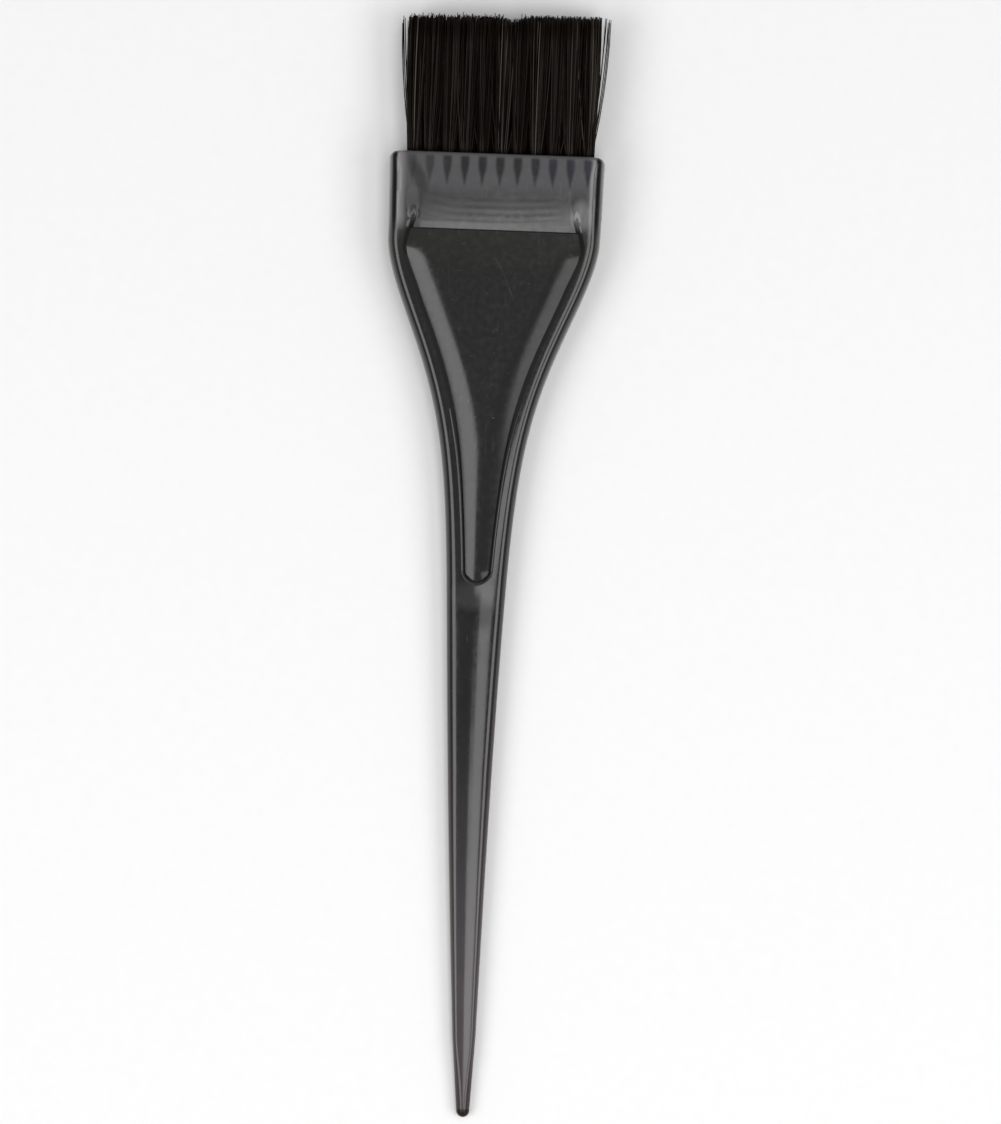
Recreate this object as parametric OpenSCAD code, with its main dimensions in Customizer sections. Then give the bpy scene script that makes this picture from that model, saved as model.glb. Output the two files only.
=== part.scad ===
// Tint brush for hair colour: one moulded handle with a long tail, and bristle tufts,
// each folded over a flat-wire anchor at the bottom of its own blind hole.
// The brush lies on its back: +Y points towards the bristles, +Z out of the front face.

/* [Handle] */
// Length of the moulding, from the face the bristles stand in to the tip of the tail
handle_len = 183.3; // [178:0.1:195]
// Width of the head across its bristle face
head_w = 41; // [40.6:0.1:44]
// Thickness of the head
head_t = 9.6; // [9.4:0.1:11]
// Radius of the head's corners, seen from the front
corner_r = 1.5; // [1:0.1:1.6]
// Radius of the edges where the front and back meet the bristle face
lip_r = 0.7; // [0.4:0.1:0.9]
// Distance from the bristle face to where the shoulders start to narrow
shoulder_d = 16.8; // [16:0.1:20]
// Length over which the shoulders narrow to the neck
flare_len = 25.2; // [22:0.1:26]
// Width of the neck, just below the thumb panel
neck_w = 11; // [10:0.1:12]
// Thickness of the neck
neck_t = 6; // [5.6:0.1:7]
// Diameter of the ball end of the tail
tip_d = 2.5; // [2.2:0.1:3]
// Sideways set of the moulding at the middle of the handle
side_set = 1.1; // [0:0.1:1.5]

/* [Thumb panel] */
// Distance from the bristle face to the edge of the ledge above the panel
ledge_d = 14.5; // [14:0.1:15.5]
// Drop of the head's face from flat to the edge of the ledge
ledge_drop = 0.9; // [0.6:0.1:1]
// Width of the rim at the panel's bottom end, from the outline to the foot of the step
rim_w = 3.6; // [3.4:0.1:3.8]
// Height of the step down into the panel
step_h = 0.7; // [0.4:0.05:0.7]
// Width of the curved margin between the step and the panel's flat floor
margin_w = 4.5; // [3:0.1:5]
// Slope of the margin where it meets the step, in degrees
margin_slope = 11; // [8:1:16]
// Distance from the bristle face to the round bottom end of the panel
panel_end_d = 81.2; // [80:0.1:82]

/* [Bristles] */
// Length of the bristles outside the head
bristle_len = 26.7; // [22:0.1:32]
// Number of tufts in the front row and in the back row
row_count = 11; // [7:1:11]
// Distance between neighbouring tufts in a row
tuft_pitch = 3.34; // [3.3:0.01:3.36]
// Sideways shift of the tufts from the middle of the head
tuft_shift = 0.6; // [0:0.1:0.6]
// Distance between the rows
row_gap = 2.6; // [2.6:0.1:2.7]
// Diameter of the tuft holes
hole_d = 2.2; // [2:0.1:2.2]
// Depth of the straight part of the tuft holes
hole_depth = 5; // [4.5:0.1:6]
// Diameter of a tuft at the trimmed tips
tip_spread_d = 2.9; // [2.3:0.1:2.9]
// Thickness of the flat wire that the anchors are cut from
wire_t = 0.35; // [0.3:0.05:0.5]
// Height of the flat wire along the hole
wire_h = 1.4; // [1:0.1:1.6]

/* [Hidden] */
HANDLE_COLOUR = [0.27, 0.26, 0.27];
BRISTLE_COLOUR = [0.08, 0.06, 0.05];
WIRE_COLOUR = [0.72, 0.60, 0.36];

total_len = handle_len + bristle_len;
face_y = total_len / 2 - bristle_len; // the bristle face; d is the distance from it to the tail
mid_z = head_t / 2;
eps = 0.01;

// Outline of the handle
side_draft = 0.02; // the head's sides narrow by this much for each millimetre
tail_slope = 0.0395; // and the tail's sides by this much
taper_d = 168; // where the tail starts to narrow faster, towards its ball
ball_d = handle_len - tip_d / 2;
shoulder_half = head_w / 2 - side_draft * shoulder_d;
flare_half = shoulder_half - tail_half(shoulder_d);
set_d = 12; // where the sideways set starts

// Section of the handle
bend_d = 4; // the head's face is flat down to here, then bends down to the ledge
flat_d = 8; // and the rims beside it are flat down to here
face_edge_w = 2.1; // width of the rounded edge at the bristle face, seen from the front
head_edge_w = 2.9; // along the head
body_edge_w = 2.6; // at the shoulders
tail_edge_w = 1.7; // and at the neck, below which it is a part of the tail's width
tail_edge_part = 0.4;
body_from = 28; // the edge narrows from the body's to the tail's width between these two
body_to = 88;
edge_d = 40; // where the edge's section has turned from squarish to rounder
crown = 0.16; // fall of the tail's face towards its edge, for each millimetre of half width
crown_from = 40; // the face turns from flat to crowned between these two
crown_to = 95;
dip_w = 3.4; // width of the slope from the rim down to the bent face
groove_d = 8; // from here on that slope narrows to a groove
lip_w = 0.35; // width of the rounded side of the head's block
block_half = 14.2; // half the width of the block where it starts
panel_top_d = 18.5; // where the panel has its full width
wide_rim = 0.5; // the rim is wider by this much in the shoulders
panel_r = 2.25; // radius of the panel's bottom end
panel_c = panel_end_d - panel_r;
step_w = 0.8; // width of the rounded step into the panel
ledge_wall = 0.2; // length of the wall below the ledge
margin_from = 16.8; // the curved margins grow between these two
margin_to = 20.5;
recess_end = panel_end_d + step_w;
neck_d = 80;
swell = 0.13; // the handle gets thinner by this much on each face below the panel
swell_end = 84.5;
tail_edge_t = 1.72; // half the tail's thickness where it starts to narrow faster

// Tufts
ROWS = [
    ["front", 1, row_count],
    ["middle", 0, row_count - 1],
    ["back", -1, row_count]
];
tuft_d = hole_d - 0.08; // the root of a tuft, a light fit in its hole
wire_w = hole_d - 0.04;
wire_up = 0.6; // from the bottom of the hole to the anchor, where the tuft folds under it
drill_tip = 0.75; // depth of the hole's pointed bottom
hole_fn = 24;

function mix(a, b, t) = a + (b - a) * t;
function clamp01(t) = min(1, max(0, t));
function smooth(a, b, v) = let (t = clamp01((v - a) / (b - a))) t * t * (3 - 2 * t);
function arch(k, p) = pow(max(0, 1 - pow(clamp01(k), p)), 1 / p);

// Half the width of the tail's straight taper, at a distance d from the bristle face
function tail_half(d) = neck_w / 2 + tail_slope * (85 - d);

// Half the width of the handle: rounded corner, head, flared body, tail, ball end
function half_w(d) =
    d < corner_r ? head_w / 2 - corner_r + sqrt(corner_r * corner_r - pow(corner_r - d, 2)) :
    d < shoulder_d ? head_w / 2 - side_draft * d :
    d < taper_d ? tail_half(d) + flare_half * exp(-pow((d - shoulder_d) / flare_len, 1.7)) :
    d < ball_d ? mix(tail_half(taper_d), tip_d / 2, (d - taper_d) / (ball_d - taper_d)) :
    sqrt(max(0, pow(tip_d / 2, 2) - pow(d - ball_d, 2)));

// Half the thickness of the handle at its middle, with no panel in it
function half_t(d) =
    d < flat_d ? head_t / 2 :
    d < neck_d ? mix(neck_t, head_t, pow((neck_d - d) / (neck_d - flat_d), 1.5)) / 2 :
    d < taper_d ? mix(neck_t / 2 - swell * smooth(neck_d, swell_end, d), tail_edge_t,
        (d - neck_d) / (taper_d - neck_d)) :
    d < ball_d ? mix(tail_edge_t, tip_d / 2, (d - taper_d) / (ball_d - taper_d)) :
    half_w(d);

// Sideways shift of the handle's middle line
function set_x(d) = -side_set * sin(180 * clamp01((d - set_d) / (handle_len - set_d)));

// How far the front and back faces are cut back where they meet the bristle face
function lip_cut(d) = d < lip_r ? lip_r - sqrt(lip_r * lip_r - pow(lip_r - d, 2)) : 0;

// Width of the rounded edge, seen from the front
function edge_w(d) =
    let (
        head = mix(face_edge_w, head_edge_w, smooth(0, 4, d)),
        body = mix(body_edge_w, tail_edge_w, clamp01((d - body_from) / (body_to - body_from)))
    )
    min(mix(head, body, smooth(flat_d, shoulder_d, d)),
        half_w(d) * mix(tail_edge_part, 1, smooth(taper_d, ball_d, d)));

// Height of the outer surface, with no panel in it: a flat or crowned face with rounded edges
function outer_h(x, d) =
    let (
        w = max(half_w(d), eps),
        fall = crown * smooth(crown_from, crown_to, d) * x * x / w,
        power = mix(3, 2.5, smooth(flat_d, edge_d, d)) - 0.5 * smooth(taper_d, ball_d, d)
    )
    (half_t(d) - lip_cut(d) - fall) * arch(1 - (w - abs(x)) / max(edge_w(d), eps), power);

// Width of the rim, from the outline to the foot of the step
function rim(d) = rim_w - 0.15 + (wide_rim + 0.15) * smooth(18, 26, d) - wide_rim * smooth(35, 70, d);

// Half the width inside the rims: of the head's block, of the panel, of its round end
function inner_w(d) =
    d < panel_top_d ? mix(block_half, half_w(panel_top_d) - rim(d), smooth(groove_d, panel_top_d, d)) :
    d < panel_c ? half_w(d) - rim(d) :
    sqrt(max(0, panel_r * panel_r - pow(d - panel_c, 2)));

// Distance inside the foot of the step, negative outside it
function inside(x, d) =
    d < panel_c ? inner_w(d) - abs(x) : panel_r - norm([x, d - panel_c]);

// Height of the head's face where it bends down to the ledge
function ledge_h(d) = head_t / 2 - ledge_drop * pow(max(0, d - bend_d) / (ledge_d - bend_d), 1.35);

// Height of the head's block and of the slope up to the rim, which narrows to a groove
function block_h(x, d) =
    let (
        i = inside(x, d),
        deep = step_h * smooth(ledge_d - 3.5, ledge_d, d),
        foot = ledge_h(d) - deep,
        reach = mix(dip_w, step_w, smooth(groove_d, ledge_d - 1, d))
    )
    i > 0 ? ledge_h(d) - deep * pow(clamp01(1 - i / lip_w), 2) :
    outer_h(x, d) - (outer_h(x, d) - foot) * smooth(-reach, 0, i);

// Shape of the step: a sharp edge in the shoulders, a rounded one at the neck
function step_p(d) = mix(1, 2, smooth(45, 68, d));

// Height of the rim and the panel: a step down, a curved margin, a flat floor
function panel_h(x, d) =
    let (
        i = inside(x, d),
        e = min(d, panel_c),
        wide = min(margin_w, inner_w(e)),
        fall = wide * tan(margin_slope) / 2,
        share = smooth(margin_from, margin_to, d),
        foot = outer_h(inner_w(e), e) - step_h - fall * (1 - share)
    )
    i < 0 ? outer_h(x, d) - (outer_h(x, d) - foot) * pow(clamp01(1 + i / step_w), step_p(d)) :
    foot - fall * share * (1 - pow(1 - clamp01(i / wide), 2));

// Height of the handle's surface above its middle plane
function surface_h(x, d) =
    d < bend_d || d > recess_end ? outer_h(x, d) :
    d <= ledge_d ? block_h(x, d) :
    mix(block_h(x, ledge_d), panel_h(x, d), clamp01((d - ledge_d) / ledge_wall));

// Where a section's points stand, from the outline to the middle
function section_x(d) =
    let (
        w = half_w(d),
        e = min(edge_w(d), 0.6 * w),
        s = min(step_w, 0.15 * w),
        c = min(max(inner_w(d), 0.3 * w), w - e - s - eps)
    )
    concat(
        [for (a = [0:30:90]) w - e * (1 - cos(a))],
        [c + s, c + s / 2, c],
        [for (k = [4:-1:0]) c * k / 5]
    );

// One closed ring of points around the handle
function ring(d) =
    let (
        right = section_x(d),
        n = len(right),
        xs = concat(right, [for (i = [n - 2:-1:0]) -right[i]]),
        m = len(xs),
        front = [for (x = xs) [x + set_x(d), face_y - d, mid_z + surface_h(x, d)]],
        back = [for (i = [m - 2:-1:1]) [xs[i] + set_x(d), face_y - d, mid_z - surface_h(xs[i], d)]]
    )
    concat(front, back);

// Distances of the rings from the bristle face, closer together where the shape turns
stations = concat(
    [0, 0.1, 0.35, lip_r, 1.2, corner_r, bend_d, 5, 6.5, flat_d],
    [for (d = [flat_d + 1:1:ledge_d - 1]) d],
    [ledge_d, ledge_d + ledge_wall, 15.8, margin_from, 17.7, panel_top_d, 19.5, margin_to],
    [for (d = [23:3:77]) d],
    [for (i = [0:7]) mix(panel_c, recess_end, i / 7)],
    [83, swell_end, 88, 92, 98, 105, 115, 125, 135, 145, 155, taper_d, 175, ball_d],
    [for (a = [30:30:60]) ball_d + tip_d / 2 * sin(a), ball_d + tip_d / 2 * sin(80)]
);

// A solid through a list of rings that all have the same number of points
module loft(rings) {
    n = len(rings[0]);
    last = len(rings) - 1;
    sides = [
        for (r = [0:last - 1]) for (i = [0:n - 1])
            let (j = (i + 1) % n)
            each [
                [r * n + i, r * n + j, (r + 1) * n + j],
                [r * n + i, (r + 1) * n + j, (r + 1) * n + i]
            ]
    ];
    polyhedron(
        points = [for (ring = rings) each ring],
        faces = concat(
            [[for (i = [n - 1:-1:0]) i]],
            sides,
            [[for (i = [0:n - 1]) last * n + i]]
        )
    );
}

function tuft_name(row, i) = str("tuft_", row[0], i < 10 ? "_0" : "_", i);
function tuft_x(row, i) = tuft_shift + (i - (row[2] + 1) / 2) * tuft_pitch;
function tuft_z(row) = mid_z + row[1] * row_gap;

// Places its child on a tuft's axis, with the child's +Z pointing out of the hole
module at_tuft(row, i) {
    translate([tuft_x(row, i), face_y, tuft_z(row)])
        rotate([-90, 0, 0])
            children();
}

module tuft_hole() {
    translate([0, 0, -hole_depth])
        cylinder(h = hole_depth + 1, d = hole_d, $fn = hole_fn);
    translate([0, 0, -hole_depth - drill_tip])
        cylinder(h = drill_tip, d1 = 0.1, d2 = hole_d, $fn = hole_fn);
}

// A piece of flat wire, grown by a gap on its faces
module wire_piece(gap = 0) {
    translate([-wire_w / 2 - gap, -wire_t / 2 - gap, wire_up - hole_depth - gap])
        cube([wire_w + 2 * gap, wire_t + 2 * gap, wire_h + 2 * gap]);
}

module tuft() {
    color(BRISTLE_COLOUR)
        difference() {
            union() {
                translate([0, 0, -hole_depth])
                    cylinder(h = hole_depth, d = tuft_d, $fn = hole_fn);
                cylinder(h = bristle_len, d1 = tuft_d, d2 = tip_spread_d, $fn = hole_fn);
            }
            wire_piece(gap = eps);
        }
}

module handle() {
    color(HANDLE_COLOUR)
        difference() {
            loft([for (d = stations) ring(d)]);
            for (row = ROWS) for (i = [1:row[2]]) at_tuft(row, i) tuft_hole();
        }
}

module tuft_anchors() {
    color(WIRE_COLOUR)
        for (row = ROWS) for (i = [1:row[2]]) at_tuft(row, i) wire_piece();
}

handle();
tuft_anchors();
for (row = ROWS)
    for (i = [1:row[2]])
        at_tuft(row, i) tuft();
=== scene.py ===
"""Looks of a hair tint brush: a smoky moulded handle and tufts of real filaments, seen from above."""

import math

import bmesh
import bpy
import numpy as np
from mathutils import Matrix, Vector, geometry


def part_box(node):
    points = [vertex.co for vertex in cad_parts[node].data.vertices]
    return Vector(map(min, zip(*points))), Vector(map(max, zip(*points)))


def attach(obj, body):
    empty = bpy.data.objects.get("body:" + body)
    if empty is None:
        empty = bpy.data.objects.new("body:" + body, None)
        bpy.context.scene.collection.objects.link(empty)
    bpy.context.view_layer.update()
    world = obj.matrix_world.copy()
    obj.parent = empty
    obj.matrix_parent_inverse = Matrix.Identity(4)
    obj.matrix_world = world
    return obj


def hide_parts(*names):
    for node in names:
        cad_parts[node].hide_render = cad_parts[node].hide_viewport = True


MM = 0.001
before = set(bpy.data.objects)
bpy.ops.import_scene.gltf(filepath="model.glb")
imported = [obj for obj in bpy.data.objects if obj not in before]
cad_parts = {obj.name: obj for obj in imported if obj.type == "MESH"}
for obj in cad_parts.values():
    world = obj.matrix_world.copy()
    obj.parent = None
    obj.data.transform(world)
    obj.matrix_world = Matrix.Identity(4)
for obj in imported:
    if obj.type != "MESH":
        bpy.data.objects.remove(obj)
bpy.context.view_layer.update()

# ---------------------------------------------------------------- sizes, in millimetres
handle_lo, handle_hi = [np.array(corner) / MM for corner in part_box("handle")]
FACE_Y = handle_hi[1]  # the face the bristles stand in; d is the distance from it to the tail
TIP_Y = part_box("tuft_front_01")[1][1] / MM  # the end of the CAD model's tufts
HANDLE_LEN = round(FACE_Y - handle_lo[1], 1)
HEAD_T = handle_hi[2] - handle_lo[2]
MID_Z = (handle_hi[2] + handle_lo[2]) / 2
EPS = 0.01  # keeps divisions away from 0

# the handle's outline, as the CAD model has it
HEAD_HALF = 20.5
CORNER_R = 1.5  # the head's corners, seen from the front
SHOULDER_D = 16.8  # where the shoulders start to narrow
SIDE_DRAFT = 0.02  # the head's sides narrow by this much for each millimetre
FLARE_LEN = 25.2
FLARE_POWER = 1.7
NECK_HALF = 5.5
NECK_D = 85.0
TAIL_SLOPE = 0.0395  # the tail's sides narrow by this much for each millimetre
TAPER_D = 168.0  # where the tail starts to narrow faster, towards its ball
TIP_R = 1.25
BALL_D = HANDLE_LEN - TIP_R
SIDE_SET = 1.1  # sideways set of the moulding at its middle
SET_D = 12.0

# its thickness
FLAT_D = 8.0  # the rims are flat down to here
LIP_R = 0.7  # the edges where the front and back meet the bristle face
NECK_T_D = 80.0
NECK_HALF_T = 3.0
THIN_POWER = 1.5
SWELL = 0.13  # each face falls by this much below the panel
SWELL_END = 84.5
TAIL_EDGE_T = 1.72  # half the thickness at TAPER_D

# its rounded edge, seen from the front
FACE_EDGE_W = 2.1
HEAD_EDGE_W = 2.9
HEAD_EDGE_D = 4.0
BODY_EDGE_W = 2.6
TAIL_EDGE_W = 1.7
TAIL_EDGE_PART = 0.4
BODY_FROM, BODY_TO = 28.0, 88.0
EDGE_D = 40.0  # where the edge's section has turned from squarish to rounder
SQUARISH, ROUNDER, TIP_ROUNDER = 3, 2.5, 0.5
CROWN = 0.16  # fall of the tail's face towards its edge, for each millimetre of half width
CROWN_FROM, CROWN_TO = 40.0, 95.0

# the head's block, which bends down to the ledge, and the slope from it up to the rims
BEND_D = 4.0
BEND_POWER = 1.35
LEDGE_D = 14.5
LEDGE_DROP = 0.9
LEDGE_WALL = 0.2
LIP_W = 0.35
BLOCK_HALF = 14.2
DIP_W = 3.4
GROOVE_D = 8.0
DEEP_LEN = 3.5  # the groove deepens over this length above the ledge

# the thumb panel, its step and its curved margins
PANEL_TOP_D = 18.5
RIM_W = 3.6
RIM_PINCH = 0.15  # the rim is narrower by this much above the shoulders
WIDE_RIM = 0.5  # and wider by this much in them
RIM_GROWS = (18, 26)
RIM_SHRINKS = (35, 70)
STEP_H, STEP_W = 0.7, 0.8
STEP_ROUNDS = (45, 68)  # the step turns from sharp to rounded between these two
MARGIN_W, MARGIN_SLOPE = 4.5, math.radians(11)
MARGIN_FROM, MARGIN_TO = 16.8, 20.5
PANEL_R = 2.25
PANEL_END_D = 81.2
PANEL_C = PANEL_END_D - PANEL_R
RECESS_END = PANEL_END_D + STEP_W

# tufts
PITCH = 3.34
TUFT_SHIFT = 0.6
ROW_GAP = 2.6
HOLE_R = 1.1
HOLE_DEPTH = 5.0
DRILL_TIP = 0.75
ROWS = [("front", 1, 11), ("middle", 0, 10), ("back", -1, 11)]  # name, side, number of tufts


def mix(a, b, t):
    """The value a share t of the way from a to b."""
    return a + (b - a) * t


def smooth(a, b, v):
    """0 below a, 1 above b, and a smooth step between them."""
    t = np.clip((v - a) / (b - a), 0, 1)
    return t * t * (3 - 2 * t)


def arch(k, p):
    """1 at k = 0, falling along a superellipse of power p to 0 at k = 1."""
    return np.maximum(0, 1 - np.clip(k, 0, 1) ** p) ** (1 / p)


def tail_half(d):
    """Half the width of the tail's straight taper."""
    return NECK_HALF + TAIL_SLOPE * (NECK_D - d)


SHOULDER_HALF = HEAD_HALF - SIDE_DRAFT * SHOULDER_D
FLARE_HALF = SHOULDER_HALF - tail_half(SHOULDER_D)


def half_w(d):
    """Half the width of the handle at a distance d from the bristle face."""
    corner = HEAD_HALF - CORNER_R + np.sqrt(np.maximum(0, CORNER_R**2 - (CORNER_R - d) ** 2))
    fade = np.exp(-((np.maximum(0, d - SHOULDER_D) / FLARE_LEN) ** FLARE_POWER))
    flare = tail_half(d) + FLARE_HALF * fade
    taper = mix(tail_half(TAPER_D), TIP_R, (d - TAPER_D) / (BALL_D - TAPER_D))
    ball = np.sqrt(np.maximum(0, TIP_R**2 - (d - BALL_D) ** 2))
    return np.select(
        [d < CORNER_R, d < SHOULDER_D, d < TAPER_D, d < BALL_D],
        [corner, HEAD_HALF - SIDE_DRAFT * d, flare, taper],
        ball,
    )


def half_t(d):
    """Half the thickness of the handle at its middle, with no panel in it."""
    fall = np.clip(NECK_T_D - d, 0, None) / (NECK_T_D - FLAT_D)
    body = mix(NECK_HALF_T, HEAD_T / 2, fall**THIN_POWER)
    below = NECK_HALF_T - SWELL * smooth(NECK_T_D, SWELL_END, d)
    tail = mix(below, TAIL_EDGE_T, (d - NECK_T_D) / (TAPER_D - NECK_T_D))
    taper = mix(TAIL_EDGE_T, TIP_R, (d - TAPER_D) / (BALL_D - TAPER_D))
    return np.select(
        [d < FLAT_D, d < NECK_T_D, d < TAPER_D, d < BALL_D], [HEAD_T / 2, body, tail, taper], half_w(d)
    )


def set_x(d):
    """Sideways set of the moulding."""
    return -SIDE_SET * np.sin(math.pi * np.clip((d - SET_D) / (HANDLE_LEN - SET_D), 0, 1))


def lip_cut(d):
    """How far the faces are cut back where they meet the bristle face."""
    return np.where(d < LIP_R, LIP_R - np.sqrt(np.maximum(0, LIP_R**2 - (LIP_R - d) ** 2)), 0)


def edge_w(d):
    """Width of the rounded edge, seen from the front."""
    head = mix(FACE_EDGE_W, HEAD_EDGE_W, smooth(0, HEAD_EDGE_D, d))
    body = mix(BODY_EDGE_W, TAIL_EDGE_W, np.clip((d - BODY_FROM) / (BODY_TO - BODY_FROM), 0, 1))
    part = mix(TAIL_EDGE_PART, 1, smooth(TAPER_D, BALL_D, d))
    return np.minimum(mix(head, body, smooth(FLAT_D, SHOULDER_D, d)), half_w(d) * part)


def outer_h(x, d):
    """Height of the outer surface above the middle plane, with no panel in it."""
    w = np.maximum(half_w(d), EPS)
    fall = CROWN * smooth(CROWN_FROM, CROWN_TO, d) * x**2 / w
    power = mix(SQUARISH, ROUNDER, smooth(FLAT_D, EDGE_D, d)) - TIP_ROUNDER * smooth(TAPER_D, BALL_D, d)
    k = 1 - (w - np.abs(x)) / np.maximum(edge_w(d), EPS)
    return (half_t(d) - lip_cut(d) - fall) * arch(k, power)


def rim(d):
    """Width of the rim, from the outline to the foot of the step."""
    grown = (WIDE_RIM + RIM_PINCH) * smooth(*RIM_GROWS, d)
    return RIM_W - RIM_PINCH + grown - WIDE_RIM * smooth(*RIM_SHRINKS, d)


def inner_w(d):
    """Half the width inside the rims: of the head's block, of the panel, of its round end."""
    top = half_w(np.asarray(PANEL_TOP_D)) - rim(d)
    block = mix(BLOCK_HALF, top, smooth(GROOVE_D, PANEL_TOP_D, d))
    end = np.sqrt(np.maximum(0, PANEL_R**2 - (d - PANEL_C) ** 2))
    return np.select([d < PANEL_TOP_D, d < PANEL_C], [block, half_w(d) - rim(d)], end)


def inside(x, d):
    """Distance inside the foot of the step, negative outside it."""
    return np.where(d < PANEL_C, inner_w(d) - np.abs(x), PANEL_R - np.hypot(x, d - PANEL_C))


def ledge_h(d):
    """Height of the head's face where it bends down to the ledge."""
    return HEAD_T / 2 - LEDGE_DROP * (np.maximum(0, d - BEND_D) / (LEDGE_D - BEND_D)) ** BEND_POWER


def block_h(x, d):
    """Height of the head's block and of the slope up to the rim, which narrows to a groove."""
    i, outer = inside(x, d), outer_h(x, d)
    deep = STEP_H * smooth(LEDGE_D - DEEP_LEN, LEDGE_D, d)
    foot = ledge_h(d) - deep
    reach = mix(DIP_W, STEP_W, smooth(GROOVE_D, LEDGE_D - 1, d))
    return np.where(
        i > 0,
        ledge_h(d) - deep * np.clip(1 - i / LIP_W, 0, 1) ** 2,
        outer - (outer - foot) * smooth(-reach, 0, i),
    )


def panel_h(x, d):
    """Height of the rim and the panel: a step down, a curved margin, a flat floor."""
    i, outer = inside(x, d), outer_h(x, d)
    e = np.minimum(d, PANEL_C)
    wide = np.minimum(MARGIN_W, inner_w(e))
    fall = wide * math.tan(MARGIN_SLOPE) / 2
    share = smooth(MARGIN_FROM, MARGIN_TO, d)
    foot = outer_h(inner_w(e), e) - STEP_H - fall * (1 - share)
    power = mix(1, 2, smooth(*STEP_ROUNDS, d))
    return np.where(
        i < 0,
        outer - (outer - foot) * np.clip(1 + i / STEP_W, 0, 1) ** power,
        foot - fall * share * (1 - (1 - np.clip(i / wide, 0, 1)) ** 2),
    )


def surface_h(x, d):
    """Height of the handle's surface above its middle plane."""
    ledge = block_h(x, np.full(d.shape, LEDGE_D))
    below = mix(ledge, panel_h(x, d), np.clip((d - LEDGE_D) / LEDGE_WALL, 0, 1))
    plain = (d < BEND_D) | (d > RECESS_END)
    return np.select([plain, d <= LEDGE_D], [outer_h(x, d), block_h(x, d)], below)


# ---------------------------------------------------------------- the handle
EDGE_STEPS, RIM_STEPS, STEP_STEPS, FLOOR_STEPS = 12, 3, 6, 26
HOLE_STEPS = 20
HOLE_FILL = 0.97  # triangles with their middle inside this share of a hole's radius are left out
SHARP_ANGLE = math.radians(28)


def section_x(d):
    """Where a section's points stand, from the outline to the middle.

    Shares of the half width keep the points in order where the tail is thin.
    """
    w = float(half_w(d))
    e = min(float(edge_w(d)), 0.6 * w)
    s = min(STEP_W, 0.15 * w)
    c = min(max(float(inner_w(d)), 0.3 * w), w - e - s - min(0.1, 0.05 * w))
    edge = w - e * (1 - np.cos(np.linspace(0, math.pi / 2, EDGE_STEPS + 1)))
    bend = min(0.06, 0.4 * (w - e - c - s))
    rim_part = np.linspace(w - e, c + s + bend, RIM_STEPS + 1)[1:]
    step = np.linspace(c + s, c, STEP_STEPS + 1)[1:]
    lip = [c - min(0.03, 0.1 * c), c - min(0.18, 0.2 * c), c - min(0.35, 0.3 * c)]
    floor = np.linspace(lip[-1], 0, FLOOR_STEPS + 1)[1:]
    return np.concatenate([edge, rim_part, step, lip, floor])


def station_list():
    """Distances of the handle's sections from the bristle face."""
    lip = LIP_R * (1 - np.cos(np.linspace(0, math.pi / 2, 7)))
    ball = BALL_D + TIP_R * np.sin(np.radians([15, 30, 45, 58, 70, 80, 87]))
    runs = [
        lip,
        np.arange(0.9, CORNER_R, 0.2),
        np.arange(CORNER_R, BEND_D, 0.6),
        np.arange(BEND_D, LEDGE_D - 0.1, 0.3),
        LEDGE_D + np.array([-0.1, -0.03, 0, LEDGE_WALL / 2, LEDGE_WALL]),
        np.arange(LEDGE_D + LEDGE_WALL + 0.15, PANEL_TOP_D, 0.25),
        np.arange(PANEL_TOP_D, 76, 0.5),
        np.arange(76, PANEL_C - 0.1, 0.25),
        np.linspace(PANEL_C, PANEL_END_D, 18),
        np.linspace(PANEL_END_D, RECESS_END, 8)[1:],
        np.arange(RECESS_END + 0.3, BALL_D - 0.3, 0.7),
        [BALL_D],
        ball,
    ]
    return np.concatenate(runs)


def tuft_centres():
    """(name, x, z) of every tuft, in millimetres."""
    return [
        (f"{row}_{i:02d}", TUFT_SHIFT + (i - (count + 1) / 2) * PITCH, MID_Z + side * ROW_GAP)
        for row, side, count in ROWS
        for i in range(1, count + 1)
    ]


def circle(r, steps):
    """Points around a circle at the origin."""
    turn = np.arange(steps) * 2 * math.pi / steps
    return np.column_stack([r * np.cos(turn), r * np.sin(turn)])


def face_with_holes(points, ring):
    """Adds the flat bristle face and its blind holes to the points, and returns their faces."""
    steps, faces = HOLE_STEPS, []
    flat = [points[i] for i in ring]
    index = list(ring)
    edges = [(i, (i + 1) % len(ring)) for i in range(len(ring))]
    centres = [(x, z) for _, x, z in tuft_centres()]
    levels = [(FACE_Y, 1.0), (FACE_Y - HOLE_DEPTH, 1.0), (FACE_Y - HOLE_DEPTH - DRILL_TIP, 0.05)]
    for x, z in centres:
        start, first = len(flat), len(points)
        for y, size in levels:
            points += [(x + px * size, y, z + pz * size) for px, pz in circle(HOLE_R, steps)]
        flat += points[first : first + steps]
        index += range(first, first + steps)
        edges += [(start + i, start + (i + 1) % steps) for i in range(steps)]
        for level in (0, 1):
            a, b = first + level * steps, first + (level + 1) * steps
            faces += [(a + i, b + i, b + (i + 1) % steps, a + (i + 1) % steps) for i in range(steps)]
        faces.append([first + 2 * steps + i for i in range(steps)][::-1])
    plane = [Vector((x, z)) for x, _, z in flat]
    cut = geometry.delaunay_2d_cdt(plane, edges, [], 1, 1e-6)
    limit = (HOLE_R * HOLE_FILL) ** 2
    for tri in cut[2]:
        middle = sum((cut[0][i] for i in tri), Vector((0, 0))) / 3
        if all((middle.x - x) ** 2 + (middle.y - z) ** 2 > limit for x, z in centres):
            faces.append([index[cut[3][i][0]] for i in tri])
    return faces


def build_mesh(name, points, faces):
    """A mesh in metres from points in millimetres."""
    mesh = bpy.data.meshes.new(name)
    mesh.from_pydata([tuple(c * MM for c in p) for p in points], [], faces)
    mesh.validate()
    return mesh


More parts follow.
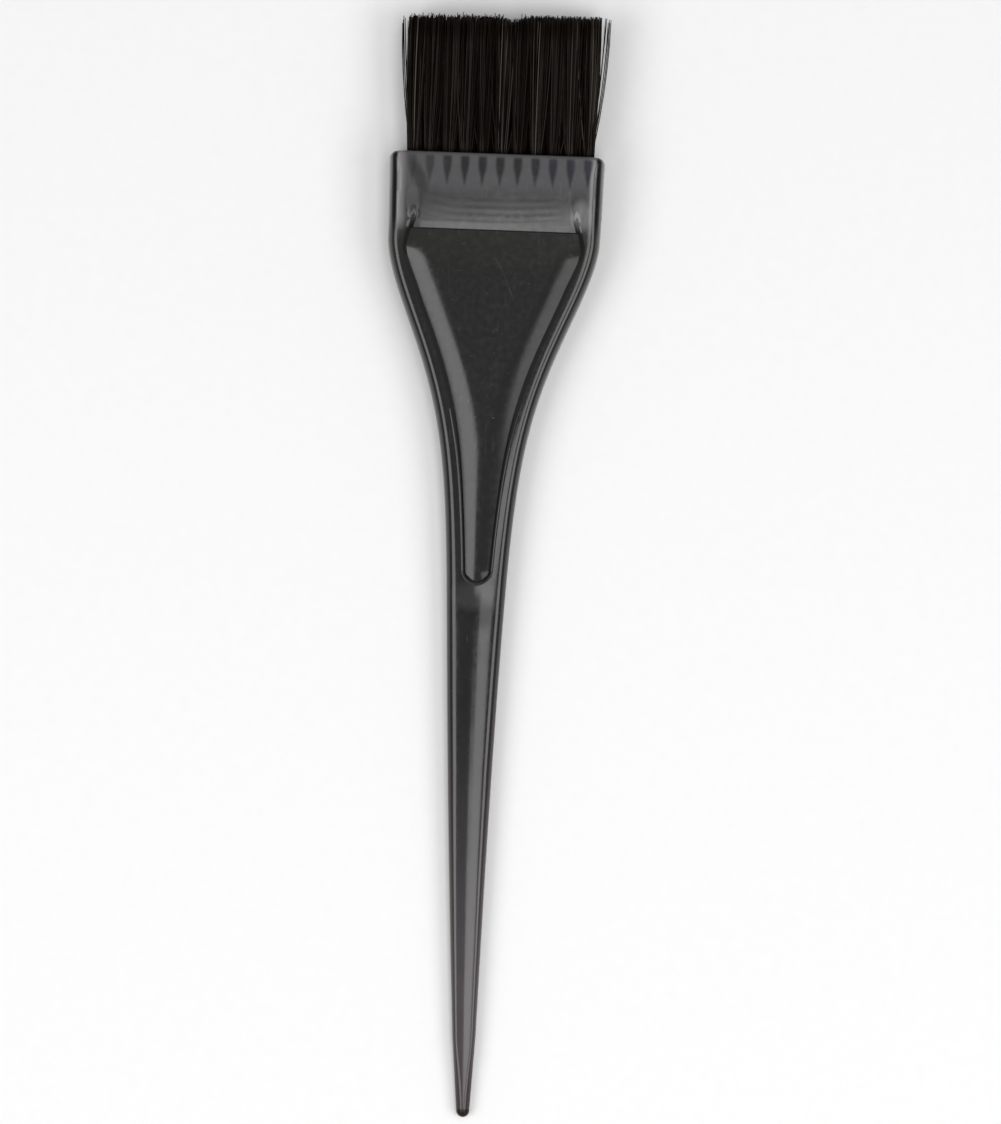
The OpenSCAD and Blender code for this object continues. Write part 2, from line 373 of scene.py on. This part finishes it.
def fix_normals(mesh):
    """Turns all faces outwards."""
    bm = bmesh.new()
    bm.from_mesh(mesh)
    bmesh.ops.recalc_face_normals(bm, faces=bm.faces)
    bm.to_mesh(mesh)
    bm.free()


def make_handle():
    """The moulding: one ring of points for each station, and the bristle face with its holes."""
    rows = []
    for d in station_list():
        right = section_x(d)
        xs = np.concatenate([right, -right[-2::-1]])
        h = surface_h(xs, np.full(len(xs), d))
        h[0] = h[-1] = 0
        y = np.full(len(xs), FACE_Y - d)
        front = np.column_stack([xs + set_x(d), y, MID_Z + h])
        back = np.column_stack([xs + set_x(d), y, MID_Z - h])[-2:0:-1]
        rows.append(np.vstack([front, back]))
    n, last = len(rows[0]), len(rows) - 1
    points = [tuple(p) for row in rows for p in row]
    faces = [
        (r * n + i, r * n + (i + 1) % n, (r + 1) * n + (i + 1) % n, (r + 1) * n + i)
        for r in range(last)
        for i in range(n)
    ]
    faces.append([last * n + i for i in range(n)])
    faces += face_with_holes(points, list(range(n)))
    mesh = build_mesh("handle_moulding", points, faces)
    fix_normals(mesh)
    for poly in mesh.polygons:
        poly.use_smooth = True
    mesh.set_sharp_from_angle(angle=SHARP_ANGLE)
    return add_piece("handle_moulding", mesh, "handle")


def add_piece(name, mesh, node):
    """A piece that takes the place of a CAD node."""
    piece = bpy.data.objects.new(name, mesh)
    bpy.context.scene.collection.objects.link(piece)
    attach(piece, "root")
    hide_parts(node)
    return piece


# ---------------------------------------------------------------- the bristles
FILAMENTS = 100
FILAMENT_R = 0.1
SIDES, RINGS = 5, 7
TIP_TAPER = 0.7  # the last ring's size against the others'
ROOT_LEN = 2.0  # how far the modelled filaments reach into the hole
ROOT_GAP = 0.02
FAN = np.array([1.75, 1.35])  # radius of a tuft's tips, across and through the brush
SCATTER = np.array([0.45, 0.25])  # random part of a tip's place
SPLAY = 0.2  # a filament bows outwards by this share of its tip's sideways shift
TUFT_LEAN = 0.12  # random lean of a whole tuft
WILD_SHARE = 0.06  # this share of the filaments is scattered more
WILD_SCATTER = 1.3 * np.array([1, 0.3])
END_TUFT = 4.5  # tufts further from the middle one than this, in pitches, are the end ones
END_REACH = 1.55  # their filaments lean out by no more than this
STRAYS = 3  # but this many in each of them stand apart, between these two distances
STRAY_REACH = (1.7, 3.4)
BOW_X, BOW_Z = 0.12, 0.06  # random bow of a filament
RADIUS_SCATTER = 0.006
EDGE_ROOM = 0.3  # tips stay this far inside the head's faces
TRIM_GAP = 0.95  # from the CAD's tufts' ends down to the mean trim
TRIM_SLOPE = 0.025
NOTCH_X, NOTCH_W, NOTCH_DEPTH = 2.2, 1.6, 0.9
TRIM_SCATTER = 0.42


def tubes(roots, tips, bows, radii):
    """Points and faces of thin tubes from roots to tips, each bowed by its own vector."""
    s = np.linspace(0, 1, RINGS)[None, :, None]
    path = roots[:, None] + (tips - roots)[:, None] * s + bows[:, None] * (4 * s * (1 - s))
    turn = np.arange(SIDES) * 2 * math.pi / SIDES
    around = np.column_stack([np.cos(turn), np.zeros(SIDES), np.sin(turn)])
    sizes = np.array([1.0] * (RINGS - 1) + [TIP_TAPER])
    width = radii[:, None, None, None] * sizes[None, :, None, None]
    points = (path[:, :, None] + around[None, None] * width).reshape(-1, 3)
    faces = []
    for f in range(len(roots)):
        root = f * RINGS * SIDES
        tip = root + (RINGS - 1) * SIDES
        for a in range(root, tip, SIDES):
            b = a + SIDES
            faces += [(a + i, a + (i + 1) % SIDES, b + (i + 1) % SIDES, b + i) for i in range(SIDES)]
        faces.append([tip + i for i in range(SIDES)])
        faces.append([root + i for i in range(SIDES)][::-1])
    return points, faces


def trim_y(x):
    """Where the bristles are cut: a little askew, with a shallow notch near the middle."""
    notch = NOTCH_DEPTH * np.exp(-(((x - NOTCH_X) / NOTCH_W) ** 2))
    return TIP_Y - TRIM_GAP + TRIM_SLOPE * x - notch


def fan_out(x, disc, rng):
    """How far each filament's tip leans from its tuft's axis, across and through the brush."""
    n = len(disc)
    lean = rng.normal(0, TUFT_LEAN, 2)
    fan = disc * FAN + rng.normal(0, 1, (n, 2)) * SCATTER + lean
    wild = rng.random(n) < WILD_SHARE
    fan[wild] += rng.normal(0, 1, (wild.sum(), 2)) * WILD_SCATTER
    if abs(x - TUFT_SHIFT) > END_TUFT * PITCH:
        side = math.copysign(1, x)
        fan[:, 0] = side * np.minimum(side * fan[:, 0], END_REACH)
        fan[:STRAYS, 0] = side * rng.uniform(*STRAY_REACH, STRAYS)
    return fan


def make_tuft(name, x, z, rng):
    """One tuft: filaments packed in their hole, fanning out a little towards uneven tips."""
    n = FILAMENTS
    spot = np.arange(n) + 0.5
    turn = spot * math.pi * (3 - math.sqrt(5)) + rng.uniform(0, 6)
    disc = np.column_stack([np.cos(turn), np.sin(turn)]) * np.sqrt(spot / n)[:, None]
    fan = fan_out(x, disc, rng)
    root = disc * (HOLE_R - FILAMENT_R - ROOT_GAP)
    limit_z = HEAD_T / 2 - EDGE_ROOM
    roots = np.column_stack([x + root[:, 0], np.full(n, FACE_Y - ROOT_LEN), z + root[:, 1]])
    tip_y = np.minimum(trim_y(x + fan[:, 0]) + rng.normal(0, TRIM_SCATTER, n), TIP_Y)
    tip_z = np.clip(z + fan[:, 1], MID_Z - limit_z, MID_Z + limit_z)
    tips = np.column_stack([x + fan[:, 0], tip_y, tip_z])
    bow_x = SPLAY * (tips - roots)[:, 0] + rng.normal(0, BOW_X, n)
    bows = np.column_stack([bow_x, np.zeros(n), rng.normal(0, BOW_Z, n)])
    points, faces = tubes(roots, tips, bows, rng.normal(FILAMENT_R, RADIUS_SCATTER, n))
    mesh = build_mesh("bristles_" + name, points, faces)
    tone = mesh.attributes.new("tone", "FLOAT", "POINT")
    shade = np.repeat(rng.random(n), RINGS * SIDES)
    tone.data.foreach_set("value", shade.astype(np.float32))
    for poly in mesh.polygons:
        poly.use_smooth = len(poly.vertices) == 4
    return add_piece("bristles_" + name, mesh, "tuft_" + name)


# ---------------------------------------------------------------- materials
class Nodes:
    """Short ways to add and link the nodes of one material."""

    def __init__(self, name):
        self.material = bpy.data.materials.new(name)
        self.material.use_nodes = True
        self.tree = self.material.node_tree
        self.shader = self.tree.nodes["Principled BSDF"]

    def add(self, kind, **inputs):
        """A new node; an input's name has _ for each space."""
        node = self.tree.nodes.new(kind)
        for key, value in inputs.items():
            self.feed(node.inputs[key.replace("_", " ")], value)
        return node

    def feed(self, socket, value):
        """Links an output to the socket, or sets the socket to a plain value."""
        if hasattr(value, "is_output"):
            self.tree.links.new(value, socket)
        else:
            socket.default_value = value

    def math(self, operation, *values, clamp=False):
        node = self.tree.nodes.new("ShaderNodeMath")
        node.operation = operation
        node.use_clamp = clamp
        for socket, value in zip(node.inputs, values):
            self.feed(socket, value)
        return node.outputs[0]

    def product(self, first, *others):
        for other in others:
            first = self.math("MULTIPLY", first, other)
        return first

    def total(self, first, *others):
        for other in others:
            first = self.math("ADD", first, other)
        return first

    def difference(self, first, second):
        return self.math("SUBTRACT", first, second)

    def gap(self, first, second):
        return self.math("ABSOLUTE", self.difference(first, second))

    def highest(self, first, *others):
        for other in others:
            first = self.math("MAXIMUM", first, other)
        return first

    def ramp(self, value, low, high, to_low=0.0, to_high=1.0):
        """A smooth step between two values of the input."""
        node = self.tree.nodes.new("ShaderNodeMapRange")
        node.interpolation_type = "SMOOTHSTEP"
        for key, number in (("Value", value), ("From Min", low), ("From Max", high)):
            self.feed(node.inputs[key], number)
        node.inputs["To Min"].default_value = to_low
        node.inputs["To Max"].default_value = to_high
        return node.outputs[0]

    def fade(self, value, low, high, top=1.0):
        """The same step downwards, from the top value to 0."""
        return self.ramp(value, low, high, top, 0.0)

    def blend(self, factor, a, b):
        """Colour a where the factor is 0, and b where it is 1; a plain colour is an RGB triple."""
        node = self.tree.nodes.new("ShaderNodeMix")
        node.data_type = "RGBA"
        self.feed(node.inputs[0], factor)
        for socket, colour in ((node.inputs[6], a), (node.inputs[7], b)):
            self.feed(socket, (*colour, 1) if isinstance(colour, tuple) else colour)
        return node.outputs[2]

    def place(self):
        """The object's own coordinates, and their X, Y and Z apart, in millimetres."""
        coords = self.tree.nodes.new("ShaderNodeTexCoord").outputs["Object"]
        split = self.tree.nodes.new("ShaderNodeSeparateXYZ")
        self.tree.links.new(coords, split.inputs[0])
        return coords, [self.math("MULTIPLY", out, 1 / MM) for out in split.outputs]

    def stretch(self, coords, scale):
        node = self.add("ShaderNodeMapping", Vector=coords)
        node.inputs["Scale"].default_value = scale
        return node.outputs[0]

    def noise(self, coords, scale, detail=2.0, roughness=0.5):
        node = self.add("ShaderNodeTexNoise", Vector=coords, Scale=scale, Detail=detail)
        node.inputs["Roughness"].default_value = roughness
        return node.outputs["Fac"]

    def bump(self, height, distance, strength=1.0):
        node = self.add("ShaderNodeBump", Height=height, Distance=distance, Strength=strength)
        self.tree.links.new(node.outputs[0], self.shader.inputs["Normal"])


# the plastic's colours, as linear RGB, with the painted highlights and painted shade among them
PANEL_SMOKE = (0.0095, 0.0092, 0.0095)
# the head's and the ledge's colours are the smoke with a painted reflection of the light in them
HEAD_SMOKE_AND_REFLECTION = (0.092, 0.089, 0.093)
LEDGE_SMOKE_AND_REFLECTION = (0.050, 0.048, 0.050)
TAIL_SMOKE = (0.080, 0.073, 0.080)
# a painted highlight on the swell below the panel's round end
NECK_HIGHLIGHT = (0.075, 0.074, 0.072)
CLOUD = (0.012, 0.011, 0.012)
# painted shade of the dents where the moulding sank
SINK_SHADE = (0.004, 0.004, 0.006)
# a painted highlight on the slope of the head's right corner
LOBE_HIGHLIGHT = (0.15, 0.148, 0.152)
BLOT = (0.024, 0.023, 0.025)
# a painted highlight along the ledge's edge, stronger at the left
LEDGE_HIGHLIGHT = (0.11, 0.11, 0.115)
# a painted highlight line and a painted shade line inside the head's side edges
RIM_HIGHLIGHT = (0.22, 0.212, 0.215)
RIM_SHADE = (0.010, 0.008, 0.008)
HOLE = (0.010, 0.0095, 0.010)
BLUE_HOLE = (0.013, 0.014, 0.024)
GREEN = (0.016, 0.018, 0.013)
SCRATCH = (0.045, 0.045, 0.044)
DUST = (0.09, 0.09, 0.09)
# painted brown shade along the thin side edges, for the warm light seen through them and the shaded
# floor they reflect
BROWN_EDGE_SHADE = (0.036, 0.018, 0.016)
BROWN_TIP = (0.022, 0.013, 0.010)

# soft oval spots on it: x, d, half the width, half the length, strength
# the painted highlight below the panel's round end
NECK_HIGHLIGHT_SPOT = (-1.3, 84.0, 5.0, 3.2, 0.35)
# the painted highlight at the head's right corner
LOBE_HIGHLIGHT_SPOT = (16.3, 11.2, 2.1, 3.2, 0.9)
BLOT_SPOT = (-16.4, 5.0, 1.5, 3.8, 0.75)
BLOT_SLANT = 0.35  # the blot drifts to the right by this much for each millimetre of d
DUSTY_SPOT = (0.5, 45.0, 5.0, 8.0, 0.6)
MATT_LOBE = (-15.6, 9.0, 2.2, 3.6, 1.3)
MATT_NECK = (0.2, 87.6, 2.8, 3.4, 0.7)
DUST_EVERYWHERE = 0.2
CLOUD_SHARE = 0.3
GREEN_SHARE = 0.6
EDGE_SHARE = 0.8

# where the colours and marks come and go, over d
LEDGE_DARKENS = (5, 9.5)
TAIL_PALES = (100, 176)
BAND_STARTS = (12.9, 13.6)
RIMS_FADE = (12.0, 17.0)
GREEN_FADES = (17, 24)
TIP_BROWNS = (181.4, 182.0)

# over x, or the distance from the head's middle
HOLES_BLUE = (2, 17)
STREAKS_DARKEN = (-18, -7)
STREAKS_END = (17.6, 18.4)
BAND_ENDS = (13.8, 14.6)
SINKS_END = (9.0, 14.5)

# over the distance inside the head's outline, and over the height from the middle plane
# where the painted highlight line and the painted shade line inside the head's edges lie
RIM_HIGHLIGHT_STARTS, RIM_HIGHLIGHT_ENDS = (1.3, 1.9), (2.0, 3.6)
RIM_SHADE_STARTS, RIM_SHADE_ENDS = (0.45, 0.8), (1.3, 1.7)
EDGE_ENDS = (0.4, 2.2)

# arcs of painted shade across the head where the moulding sank: d, half the width, strength
SINKS = [(8.8, 0.6, 0.45), (10.2, 0.6, 0.75), (11.6, 0.6, 0.85), (12.8, 0.4, 0.5)]
SINK_CURVE = 0.004  # an arc is this much times x squared nearer the bristle face

# the scratch: where it starts, how far it runs across and along, and how far it curves
SCRATCH_X, SCRATCH_D, SCRATCH_ACROSS, SCRATCH_ALONG = -0.2, 19.2, 4.8, 8.8
SCRATCH_CURVE = 0.25

STREAK_TOP, STREAK_TIP = 0.85, 0.15  # half the width of a hole's streak at both ends
STREAK_WEAK, STREAK_STRONG = 0.35, 0.9
MATT_LEVEL = 1.6  # the matt mask's value where the plastic reflects least


def streak_mask(m, x, depth):
    """The dark streaks that stand for the tuft holes behind the plastic, weaker at the left."""
    place = m.math("DIVIDE", m.difference(x, TUFT_SHIFT), PITCH)
    phase = m.difference(m.math("FRACT", m.total(place, 100.5)), 0.5)
    off_axis = m.math("ABSOLUTE", m.product(phase, PITCH))
    half = m.ramp(depth, HOLE_DEPTH - 3, HOLE_DEPTH + 1.4, STREAK_TOP, STREAK_TIP)
    across = m.fade(m.difference(off_axis, half), -0.45, 0.35)
    start = m.ramp(depth, 0.3, 1.1)
    end = m.fade(depth, HOLE_DEPTH + 0.4, HOLE_DEPTH + 1.9)
    in_head = m.fade(m.math("ABSOLUTE", x), *STREAKS_END)
    strength = m.ramp(x, *STREAKS_DARKEN, STREAK_WEAK, STREAK_STRONG)
    return m.product(across, m.product(start, end), in_head, strength)


def spot_mask(m, x, depth, spot):
    """A spot's strength in the middle of its soft oval, 0 outside it."""
    x0, d0, half_x, half_d, strength = spot
    across = m.math("DIVIDE", m.difference(x, x0), half_x)
    along = m.math("DIVIDE", m.difference(depth, d0), half_d)
    reach = m.total(m.product(across, across), m.product(along, along))
    return m.fade(reach, 0.1, 1.3, strength)


def sink_shade_mask(m, coords, x, depth):
    """Soft dark arcs of painted shade across the head, where the moulding sank between the holes and
    the ledge.
    """
    waves = m.ramp(m.noise(coords, 45.0, 1.0), 0.3, 0.7, -0.35, 0.35)
    bent = m.total(depth, m.product(x, x, SINK_CURVE), waves)
    arcs = [m.fade(m.gap(bent, d0), 0.08, half, strength) for d0, half, strength in SINKS]
    ends = m.fade(m.math("ABSOLUTE", x), *SINKS_END)
    breaks = m.ramp(m.noise(coords, 75.0, 2.0), 0.35, 0.6, 0.4, 1.0)
    shown = m.product(m.total(*arcs), ends)
    return m.math("MULTIPLY", shown, breaks, clamp=True)


def scratch_mask(m, coords, x, depth):
    """A hair-thin, slightly curved scratch down the panel."""
    along = m.math("DIVIDE", m.difference(depth, SCRATCH_D), SCRATCH_ALONG)
    curve = m.product(m.math("SINE", m.product(along, 5.0)), SCRATCH_CURVE)
    line = m.total(m.product(along, SCRATCH_ACROSS), SCRATCH_X, curve)
    length = m.product(m.ramp(along, 0.0, 0.1), m.fade(along, 0.9, 1.0))
    faint = m.ramp(m.noise(coords, 600.0, 2.0), 0.35, 0.6, 0.2, 0.9)
    return m.product(m.fade(m.gap(x, line), 0.03, 0.13), length, faint)


def rim_masks(m, x, across, depth):
    """The painted highlight line and the painted shade line that run inside the head's side edges."""
    outline = m.difference(HEAD_HALF, m.product(depth, SIDE_DRAFT))
    inset = m.difference(outline, across)
    end = m.fade(depth, *RIMS_FADE)
    light = m.product(m.ramp(inset, *RIM_HIGHLIGHT_STARTS), m.fade(inset, *RIM_HIGHLIGHT_ENDS))
    light = m.product(light, end, m.ramp(x, -5, 5, 0.85, 0.3))
    dark = m.product(m.ramp(inset, *RIM_SHADE_STARTS), m.fade(inset, *RIM_SHADE_ENDS), end)
    return light, dark


def smoke_and_reflection_colour(m, coords, x, depth):
    """The plastic's colour: dark in the panel and paler towards the tail's tip; paler in the head and
    the ledge, where a painted reflection of the light is laid into it, and a painted highlight below
    the panel.
    """
    # the head is paler and the ledge less so: a painted reflection of the light
    head = m.blend(m.ramp(depth, *LEDGE_DARKENS), HEAD_SMOKE_AND_REFLECTION, LEDGE_SMOKE_AND_REFLECTION)
    body = m.blend(m.ramp(depth, *TAIL_PALES), PANEL_SMOKE, TAIL_SMOKE)
    colour = m.blend(m.fade(depth, LEDGE_D - 2, LEDGE_D + 1), body, head)
    # a painted highlight on the swell below the panel
    colour = m.blend(spot_mask(m, x, depth, NECK_HIGHLIGHT_SPOT), colour, NECK_HIGHLIGHT)
    return m.blend(m.product(m.noise(coords, 120.0, 3.0), CLOUD_SHARE), colour, CLOUD)


def head_marks(m, coords, x, across, depth, colour, rim_shade, rim_highlight):
    """Lays the painted shade of the arcs, the painted highlights of the lobe, the ledge band and the
    light rim line, the painted shade of the dark rim line, and the blot and hole streaks of the head
    over the colour.
    """
    slanted = m.difference(x, m.product(depth, BLOT_SLANT))
    # a painted highlight along the ledge's edge, stronger at the left
    band = m.product(m.ramp(depth, *BAND_STARTS), m.fade(depth, LEDGE_D - 0.15, LEDGE_D))
    band_part = m.product(m.ramp(x, -14, 14, 0.7, 0.3), m.fade(across, *BAND_ENDS))
    hole = m.blend(m.ramp(x, *HOLES_BLUE), HOLE, BLUE_HOLE)
    layers = [
        # painted shade of the sunk arcs
        (sink_shade_mask(m, coords, x, depth), SINK_SHADE),
        # painted highlight at the head's right corner
        (spot_mask(m, x, depth, LOBE_HIGHLIGHT_SPOT), LOBE_HIGHLIGHT),
        (spot_mask(m, slanted, depth, BLOT_SPOT), BLOT),
        (m.product(band, band_part), LEDGE_HIGHLIGHT),
        # painted highlight and painted shade lines inside the head's edges
        (rim_highlight, RIM_HIGHLIGHT),
        (rim_shade, RIM_SHADE),
        (streak_mask(m, x, depth), hole),
    ]
    for mask, paint in layers:
        colour = m.blend(mask, colour, paint)
    return colour


def plastic_material():
    """Smoky glossy plastic. It is opaque: what shows through the real one is in its colour, and so are
    painted highlights and painted shade.
    """
    m = Nodes("smoky_plastic")
    coords, (x, y, z) = m.place()
    depth = m.difference(FACE_Y, y)
    across = m.math("ABSOLUTE", x)
    rim_highlight, rim_shade = rim_masks(m, x, across, depth)

    panel = m.product(m.ramp(depth, LEDGE_D, LEDGE_D + 1), m.fade(depth, *GREEN_FADES))
    specks = m.ramp(m.noise(coords, 1400.0, 0.0), 0.80, 0.84)
    dusty = m.total(spot_mask(m, x, depth, DUSTY_SPOT), DUST_EVERYWHERE)
    thin = m.fade(m.gap(z, MID_Z), *EDGE_ENDS)
    tip = m.ramp(depth, *TIP_BROWNS)
    colour = smoke_and_reflection_colour(m, coords, x, depth)
    colour = head_marks(m, coords, x, across, depth, colour, rim_shade, rim_highlight)
    colour = m.blend(m.product(panel, GREEN_SHARE), colour, GREEN)
    colour = m.blend(scratch_mask(m, coords, x, depth), colour, SCRATCH)
    colour = m.blend(m.product(specks, dusty), colour, DUST)
    # painted brown shade along the thin side edges
    colour = m.blend(m.product(thin, EDGE_SHARE), colour, BROWN_EDGE_SHADE)
    m.feed(m.shader.inputs["Base Color"], m.blend(tip, colour, BROWN_TIP))

    matt = m.highest(
        thin,
        m.product(rim_shade, MATT_LEVEL),
        spot_mask(m, x, depth, MATT_LOBE),
        spot_mask(m, x, depth, MATT_NECK),
        m.product(tip, MATT_LEVEL),
    )
    m.feed(m.shader.inputs["Specular IOR Level"], m.ramp(matt, 0.0, MATT_LEVEL, 0.5, 0.12))
    m.shader.inputs["IOR"].default_value = 1.52

    grime = m.noise(coords, 900.0, 4.0, 0.6)
    hairlines = m.ramp(m.noise(m.stretch(coords, (1.0, 0.04, 1.0)), 2600.0, 2.0), 0.62, 0.72)
    wear = m.ramp(m.noise(coords, 70.0, 2.0), 0.4, 0.65)
    roughness = m.total(m.ramp(grime, 0.3, 0.75, 0.10, 0.17), m.product(hairlines, wear, 0.10))
    m.feed(m.shader.inputs["Roughness"], roughness)
    waves = m.noise(coords, 60.0, 1.0)
    m.bump(m.total(waves, m.product(grime, 0.02)), 0.0002, 0.35)
    return m.material


def nylon_material():
    """Black-brown nylon filaments, each a slightly different tone, and a few of them paler."""
    m = Nodes("black_nylon")
    attribute = m.tree.nodes.new("ShaderNodeAttribute")
    attribute.attribute_name = "tone"
    tone = attribute.outputs["Fac"]
    coords, _ = m.place()
    fleck = m.noise(coords, 1500.0, 2.0)
    base = m.blend(tone, (0.0034, 0.0022, 0.0015), (0.0135, 0.009, 0.0054))
    base = m.blend(m.ramp(tone, 0.92, 0.98), base, (0.075, 0.066, 0.055))
    m.feed(m.shader.inputs["Base Color"], base)
    m.feed(m.shader.inputs["Specular IOR Level"], m.ramp(tone, 0.3, 1.0, 0.03, 0.22))
    m.feed(m.shader.inputs["Roughness"], m.ramp(fleck, 0.3, 0.7, 0.38, 0.55))
    m.shader.inputs["IOR"].default_value = 1.53
    return m.material


def wire_material():
    """Drawn brass wire for the anchors in the holes."""
    m = Nodes("brass_wire")
    coords, _ = m.place()
    drawn = m.noise(coords, 2500.0, 3.0)
    m.feed(m.shader.inputs["Base Color"], m.blend(drawn, (0.52, 0.38, 0.16), (0.66, 0.50, 0.24)))
    m.feed(m.shader.inputs["Roughness"], m.ramp(drawn, 0.2, 0.8, 0.25, 0.45))
    m.shader.inputs["Metallic"].default_value = 1.0
    m.bump(drawn, 0.00002, 0.5)
    return m.material


def paper_material():
    """Matt white paper for the floor."""
    m = Nodes("white_paper")
    coords, _ = m.place()
    tooth = m.noise(coords, 400.0, 3.0)
    m.feed(m.shader.inputs["Base Color"], m.blend(tooth, (0.90, 0.90, 0.90), (0.93, 0.93, 0.93)))
    m.shader.inputs["Roughness"].default_value = 0.9
    m.shader.inputs["Specular IOR Level"].default_value = 0.1
    return m.material


# ---------------------------------------------------------------- the studio
REACH = 1.2  # from the brush to the lights and the camera, in metres
FLOOR_HALF = 3.0
FLOOR_GAP = 0.00005
WORLD_STRENGTH = 0.3
CAMERA_TURN = math.radians(2.08)
CAMERA_AIM = Vector((3.38, 0.87, MID_Z)) * MM
VIEW_HEIGHT = 214.0 * MM


def make_floor():
    """A pale floor, tilted so that the head's rims and the tip of the tail both rest on it."""
    head_y = (FACE_Y - FLAT_D) * MM
    tip_y = (FACE_Y - BALL_D) * MM
    tip_z = (MID_Z - TIP_R) * MM
    slope = math.atan2(tip_z, head_y - tip_y)
    half = FLOOR_HALF
    mesh = bpy.data.meshes.new("floor")
    corners = [(-half, -half, 0), (half, -half, 0), (half, half, 0), (-half, half, 0)]
    mesh.from_pydata(corners, [], [(0, 1, 2, 3)])
    floor = bpy.data.objects.new("floor", mesh)
    bpy.context.scene.collection.objects.link(floor)
    floor.location = (0, head_y, -FLOOR_GAP)
    floor.rotation_euler = (-slope, 0, 0)
    floor.data.materials.append(paper_material())


def add_light(name, lean, gap, ys, radiance, spin=0.0):
    """A rectangular light that faces the brush from lean degrees right of straight up.

    It spans gap degrees as the brush sees it, and ys along the brush, in metres. Spin turns it in
    its own plane.
    """
    light = bpy.data.lights.new(name, "AREA")
    light.shape = "RECTANGLE"
    light.size = 2 * REACH * math.tan(math.radians(gap / 2))
    light.size_y = ys[1] - ys[0]
    light.energy = radiance * math.pi * light.size * light.size_y
    lamp = bpy.data.objects.new(name, light)
    bpy.context.scene.collection.objects.link(lamp)
    turn = math.radians(lean)
    lamp.location = (REACH * math.sin(turn), (ys[0] + ys[1]) / 2, REACH * math.cos(turn))
    lamp.rotation_euler = (0, turn, math.radians(spin))


def make_world():
    """Dim white surroundings."""
    world = bpy.data.worlds.new("studio")
    bpy.context.scene.world = world
    world.use_nodes = True
    background = world.node_tree.nodes["Background"]
    background.inputs["Color"].default_value = (1, 1, 1, 1)
    background.inputs["Strength"].default_value = WORLD_STRENGTH


def make_camera():
    """Straight above the brush, turned a little about the view's axis, so that the head leans right."""
    data = bpy.data.cameras.new("camera")
    data.sensor_fit = "VERTICAL"
    data.angle = 2 * math.atan(VIEW_HEIGHT / 2 / REACH)
    data.clip_end = 20
    camera = bpy.data.objects.new("camera", data)
    bpy.context.scene.collection.objects.link(camera)
    camera.location = CAMERA_AIM + Vector((0, 0, REACH))
    camera.rotation_euler = (0, 0, CAMERA_TURN)
    bpy.context.scene.camera = camera


# ---------------------------------------------------------------- the scene
make_camera()
make_floor()
make_world()
add_light("side_light", 12.5, 15, (-0.70, 0.55), 3.05)
add_light("tail_light", 1.8, 6.4, (-0.50, -0.095), 2.85)
add_light("left_light", -17, 14, (0.075, 0.50), 1.75, spin=16)
add_light("right_softbox", 43, 26, (-0.9, 0.115), 3.1)
add_light("left_softbox", -40, 30, (-0.9, 0.115), 3.1)

handle = make_handle()
handle.data.materials.append(plastic_material())

rng = np.random.default_rng(7)
nylon = nylon_material()
for name, x, z in tuft_centres():
    make_tuft(name, x, z, rng).data.materials.append(nylon)

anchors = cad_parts["tuft_anchors"]
anchors.data.materials.clear()
anchors.data.materials.append(wire_material())

bpy.context.scene.view_settings.view_transform = "Standard"
